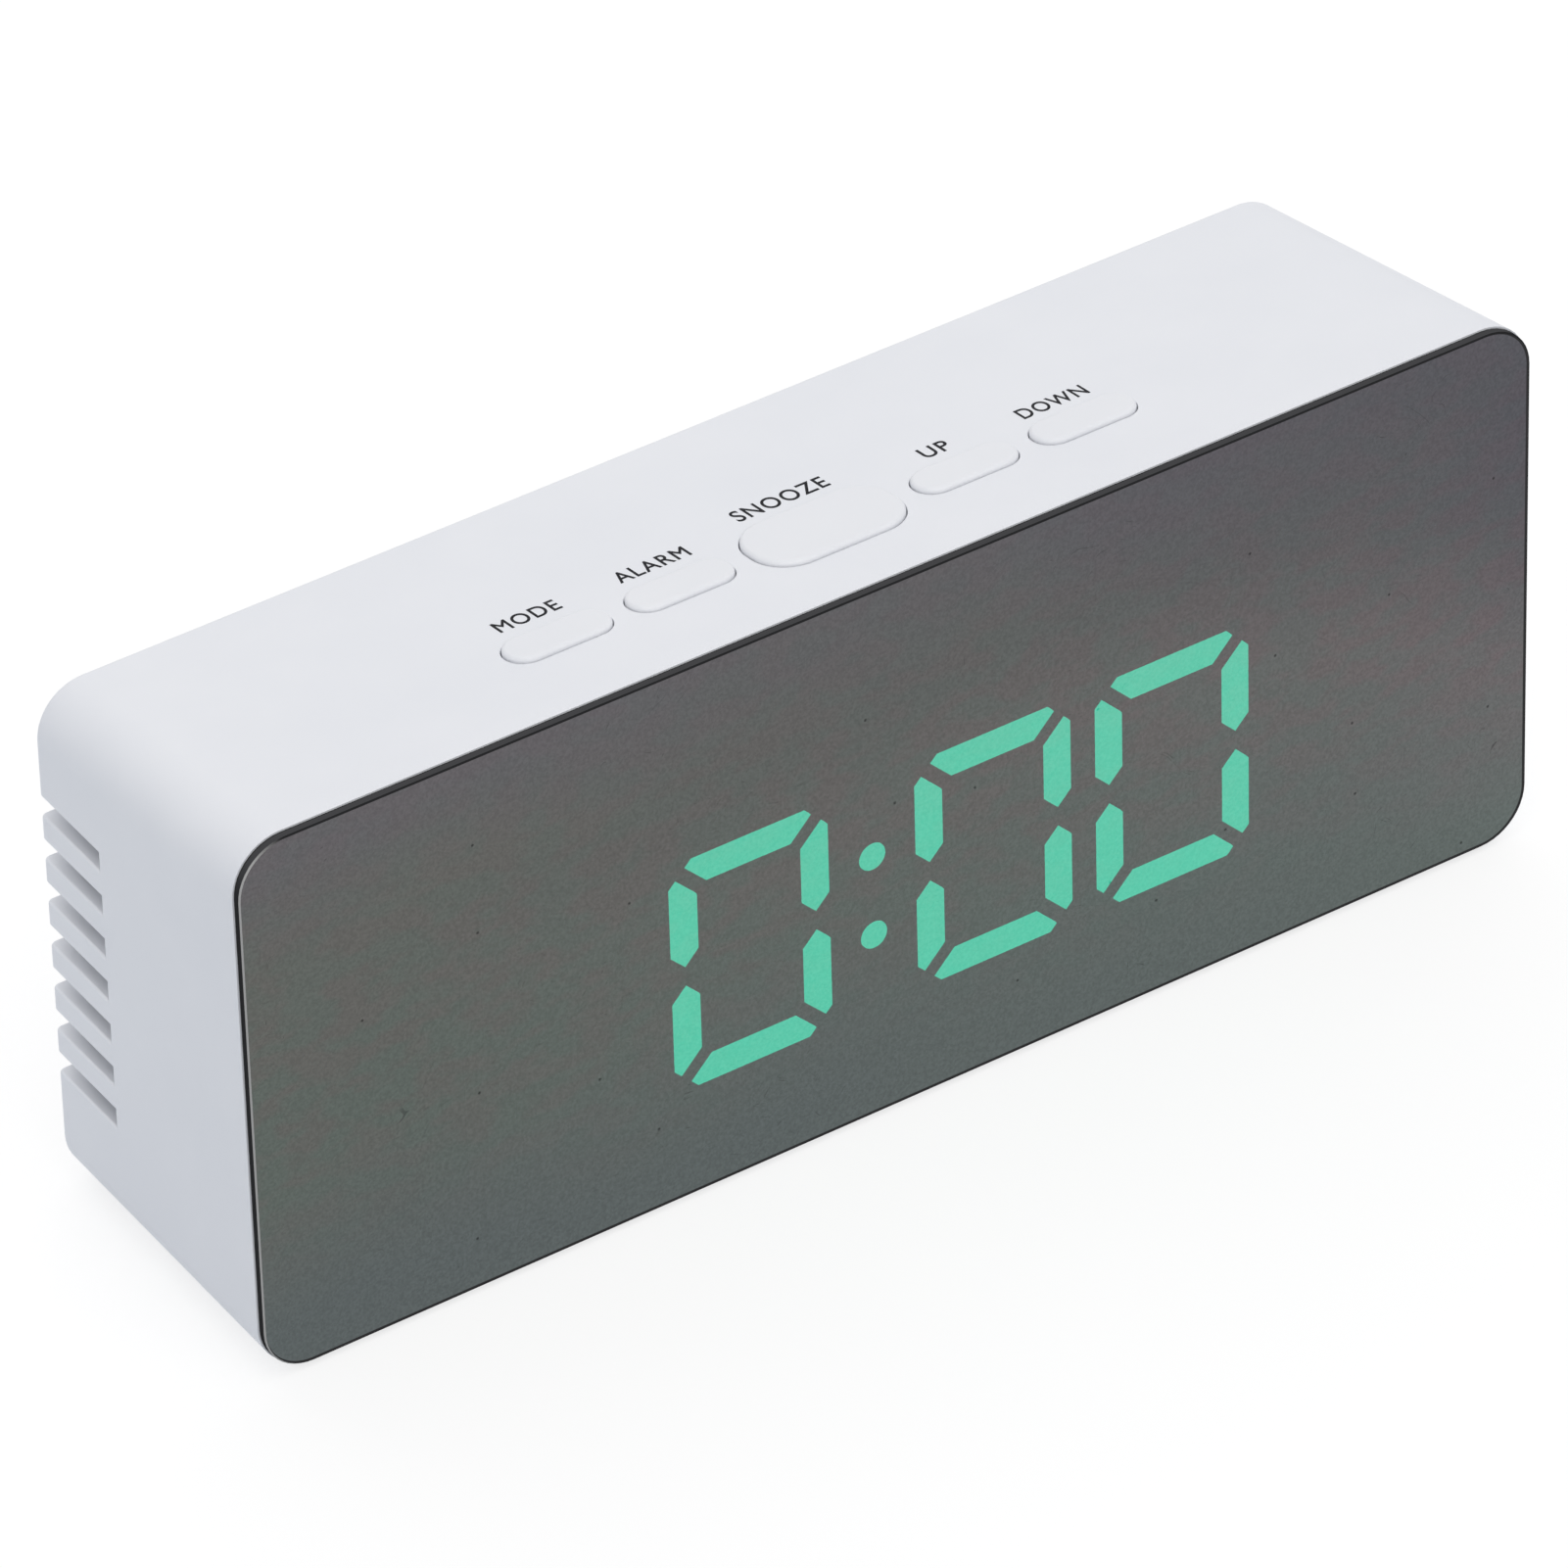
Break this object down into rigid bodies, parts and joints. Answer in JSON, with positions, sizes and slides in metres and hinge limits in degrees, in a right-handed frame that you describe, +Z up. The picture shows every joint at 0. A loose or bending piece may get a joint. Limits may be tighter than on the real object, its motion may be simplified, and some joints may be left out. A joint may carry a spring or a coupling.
{
  "type": "mirror alarm clock",
  "caption": "Desk alarm clock with a white tapered case, a half-silvered mirror front over a digit display, push buttons along the top, side vents and a rear battery door.",
  "frame": {"origin": "middle of the bounding box on the surface that the feet stand on", "axes": "+X to the right as seen from the front, -Y out of the mirror, +Z up"},
  "size_m": [0.146, 0.0376, 0.0601],
  "materials": {
    "case_white": "fine matt moulded white",
    "button_white": "satin moulded white",
    "door_white": "fine matt moulded white",
    "half_mirror": "half-silvered clear sheet, dark when nothing is lit behind it",
    "tape_black": "black foam tape",
    "frame_black": "matt black",
    "lens_lit": "mint green, lit",
    "lens_idle": "unlit smoked resin",
    "board_green": "green solder resist",
    "chip_black": "moulded black",
    "led_white": "pale resin",
    "can_metal": "plain tinned can",
    "nickel_contact": "nickel plate",
    "cell_jacket": "plain grey jacket",
    "screw_steel": "zinc plate",
    "foot_rubber": "soft dark grey",
    "lead_red": "red sleeve",
    "lead_black": "black sleeve",
    "ribbon_grey": "flat grey cable",
    "bead_blue": "dipped resin bead"
  },
  "bodies": {
    "clock": {"main_case": "case_white", "front_frame": "frame_black", "mirror_panel": "half_mirror", "panel_tape": "tape_black", "display_block": "frame_black", "hour_tens_lenses": "lens_idle", "hour_lenses": "lens_lit", "minute_tens_lenses": "lens_lit", "minute_lenses": "lens_lit", "middle_lenses": "lens_idle", "colon_lenses": "lens_lit", "main_board": "board_green", "led_chips": "led_white", "controller_chip": "chip_black", "crystal_can": "can_metal", "capacitors": "chip_black", "buzzer": "chip_black", "thermistor": "bead_blue", "button_board": "board_green", "switch_bodies": "chip_black", "button_ribbon": "ribbon_grey", "battery_cells": "cell_jacket", "battery_springs": "nickel_contact", "end_contacts": "nickel_contact", "bridge_contacts": "nickel_contact", "power_board": "board_green", "socket_shell": "can_metal", "socket_insert": "chip_black", "foot_pads": "foot_rubber", "case_screws": "screw_steel", "board_screws": "screw_steel", "power_board_screws": "screw_steel", "button_board_screws": "screw_steel", "battery_lead_red": "lead_red", "battery_lead_black": "lead_black", "power_lead_red": "lead_red", "power_lead_black": "lead_black"},
    "mode_key": {"mode_button": "button_white", "mode_plunger": "chip_black"},
    "alarm_key": {"alarm_button": "button_white", "alarm_plunger": "chip_black"},
    "snooze_key": {"snooze_button": "button_white", "snooze_plunger": "chip_black"},
    "up_key": {"up_button": "button_white", "up_plunger": "chip_black"},
    "down_key": {"down_button": "button_white", "down_plunger": "chip_black"},
    "door": {"battery_door": "door_white"}
  },
  "joints": [
    {"name": "mode_press", "type": "slide", "parent": "clock", "child": "mode_key", "axis": [0, -0.1062, -0.9943], "range_m": [0, 0.0005], "stiffness_N_per_m": 2400},
    {"name": "alarm_press", "type": "slide", "parent": "clock", "child": "alarm_key", "axis": [0, -0.1062, -0.9943], "range_m": [0, 0.0005], "stiffness_N_per_m": 2400},
    {"name": "snooze_press", "type": "slide", "parent": "clock", "child": "snooze_key", "axis": [0, -0.1062, -0.9943], "range_m": [0, 0.0005], "stiffness_N_per_m": 3000},
    {"name": "up_press", "type": "slide", "parent": "clock", "child": "up_key", "axis": [0, -0.1062, -0.9943], "range_m": [0, 0.0005], "stiffness_N_per_m": 2400},
    {"name": "down_press", "type": "slide", "parent": "clock", "child": "down_key", "axis": [0, -0.1062, -0.9943], "range_m": [0, 0.0005], "stiffness_N_per_m": 2400},
    {"name": "door_hinge", "type": "hinge", "parent": "clock", "child": "door", "pos_m": [0, 0.01755, 0.01135], "axis": [-1, 0, 0], "range_deg": [0, 85]}
  ]
}
